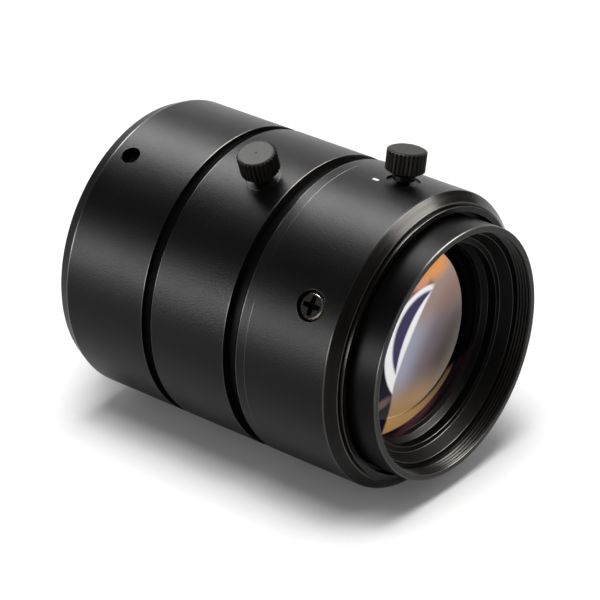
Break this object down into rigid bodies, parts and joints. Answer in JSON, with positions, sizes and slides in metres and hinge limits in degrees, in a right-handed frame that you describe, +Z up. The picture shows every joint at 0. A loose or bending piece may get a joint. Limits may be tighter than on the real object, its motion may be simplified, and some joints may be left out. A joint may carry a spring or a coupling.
{
  "type": "c-mount machine vision lens",
  "caption": "Black metal C-mount lens with a turning iris ring, a turning focus ring that drives the front barrel, and a knurled lock screw on each ring.",
  "frame": {"origin": "centre of the mounting flange's seat, the plane that stops against the camera, on the optical axis", "axes": "+X along the optical axis towards the front glass, +Z up on the side with the lock screws, +Y to the left seen from the camera"},
  "size_m": [0.061, 0.044, 0.0486],
  "materials": {
    "anodised_body": "matte black anodised, fine bead blast",
    "anodised_inside": "flat black anodised",
    "black_screw": "black oxide, satin",
    "brass_pad": "turned",
    "steel_pin": "ground",
    "blade_steel": "blued, matte",
    "coated_glass": "polished, anti-reflection coated"
  },
  "bodies": {
    "root": {"c_mount_ring": "anodised_body", "rear_barrel": "anodised_body", "mount_clamp_screws": "black_screw", "main_barrel": "anodised_inside", "guide_pin": "steel_pin", "focus_retainer": "anodised_inside"},
    "iris_ring": {"iris_ring": "anodised_body"},
    "iris_lock_pad": {"iris_lock_pad": "brass_pad"},
    "iris_lock_screw": {"iris_lock_screw": "black_screw"},
    "focus_ring": {"focus_helicoid": "anodised_body", "focus_sleeve": "anodised_body", "sleeve_screws": "black_screw"},
    "focus_lock_pad": {"focus_lock_pad": "brass_pad"},
    "focus_lock_screw": {"focus_lock_screw": "black_screw"},
    "lens_barrel": {"lens_barrel": "anodised_body", "front_retaining_ring": "anodised_inside", "front_lens": "coated_glass", "front_spacer": "anodised_inside", "second_lens": "coated_glass", "rear_cell": "anodised_inside", "third_lens": "coated_glass", "rear_spacer": "anodised_inside", "rear_lens": "coated_glass", "rear_retaining_ring": "anodised_inside"},
    "iris_cam": {"iris_cam_ring": "anodised_inside", "iris_drive_pin": "steel_pin"},
    "iris_blade_1": {"iris_blade_1": "blade_steel"},
    "iris_blade_2": {"iris_blade_2": "blade_steel"},
    "iris_blade_3": {"iris_blade_3": "blade_steel"},
    "iris_blade_4": {"iris_blade_4": "blade_steel"},
    "iris_blade_5": {"iris_blade_5": "blade_steel"}
  },
  "joints": [
    {"name": "iris_ring_turn", "type": "hinge", "parent": "root", "child": "iris_ring", "pos_m": [0.02675, 0, 0], "axis": [1, 0, 0], "range_deg": [0, 55]},
    {"name": "iris_lock_travel", "type": "slide", "parent": "iris_ring", "child": "iris_lock_pad", "axis": [0, -0.3107, 0.9505], "range_m": [-0.0003, 0.0004]},
    {"name": "iris_lock_turn", "type": "hinge", "parent": "iris_lock_pad", "child": "iris_lock_screw", "pos_m": [0.0277, -0.00683, 0.02091], "axis": [0, -0.3107, 0.9505], "range_deg": [-270, 360]},
    {"name": "focus_ring_turn", "type": "hinge", "parent": "root", "child": "focus_ring", "pos_m": [0.0444, 0, 0], "axis": [1, 0, 0], "range_deg": [-250, 0]},
    {"name": "focus_lock_travel", "type": "slide", "parent": "focus_ring", "child": "focus_lock_pad", "axis": [0, 0.1668, 0.986], "range_m": [-0.0003, 0.0004]},
    {"name": "focus_lock_turn", "type": "hinge", "parent": "focus_lock_pad", "child": "focus_lock_screw", "pos_m": [0.0444, 0.00367, 0.02169], "axis": [0, 0.1668, 0.986], "range_deg": [-270, 360]},
    {"name": "lens_barrel_slide", "type": "slide", "parent": "root", "child": "lens_barrel", "axis": [1, 0, 0], "range_m": [0, 0.004]},
    {"name": "iris_cam_turn", "type": "hinge", "parent": "lens_barrel", "child": "iris_cam", "pos_m": [0.02675, 0, 0], "axis": [1, 0, 0], "range_deg": [0, 55]},
    {"name": "iris_blade_1_swing", "type": "hinge", "parent": "lens_barrel", "child": "iris_blade_1", "pos_m": [0.0292, 0.01212, 0.00441], "axis": [1, 0, 0], "range_deg": [0, 29.15]},
    {"name": "iris_blade_2_swing", "type": "hinge", "parent": "lens_barrel", "child": "iris_blade_2", "pos_m": [0.0292, -0.00045, 0.01289], "axis": [1, 0, 0], "range_deg": [0, 29.15]},
    {"name": "iris_blade_3_swing", "type": "hinge", "parent": "lens_barrel", "child": "iris_blade_3", "pos_m": [0.0292, -0.0124, 0.00356], "axis": [1, 0, 0], "range_deg": [0, 29.15]},
    {"name": "iris_blade_4_swing", "type": "hinge", "parent": "lens_barrel", "child": "iris_blade_4", "pos_m": [0.0292, -0.00721, -0.01069], "axis": [1, 0, 0], "range_deg": [0, 29.15]},
    {"name": "iris_blade_5_swing", "type": "hinge", "parent": "lens_barrel", "child": "iris_blade_5", "pos_m": [0.0292, 0.00794, -0.01017], "axis": [1, 0, 0], "range_deg": [0, 29.15]}
  ],
  "couplings": [
    {"joint": "iris_lock_turn", "follows": "iris_lock_travel", "rad_per_m": 15708},
    {"joint": "focus_lock_turn", "follows": "focus_lock_travel", "rad_per_m": 15708},
    {"joint": "focus_ring_turn", "follows": "lens_barrel_slide", "rad_per_m": -1090.8},
    {"joint": "iris_cam_turn", "follows": "iris_ring_turn", "ratio": 1},
    {"joint": "iris_blade_1_swing", "follows": "iris_ring_turn", "ratio": 0.53},
    {"joint": "iris_blade_2_swing", "follows": "iris_ring_turn", "ratio": 0.53},
    {"joint": "iris_blade_3_swing", "follows": "iris_ring_turn", "ratio": 0.53},
    {"joint": "iris_blade_4_swing", "follows": "iris_ring_turn", "ratio": 0.53},
    {"joint": "iris_blade_5_swing", "follows": "iris_ring_turn", "ratio": 0.53}
  ]
}
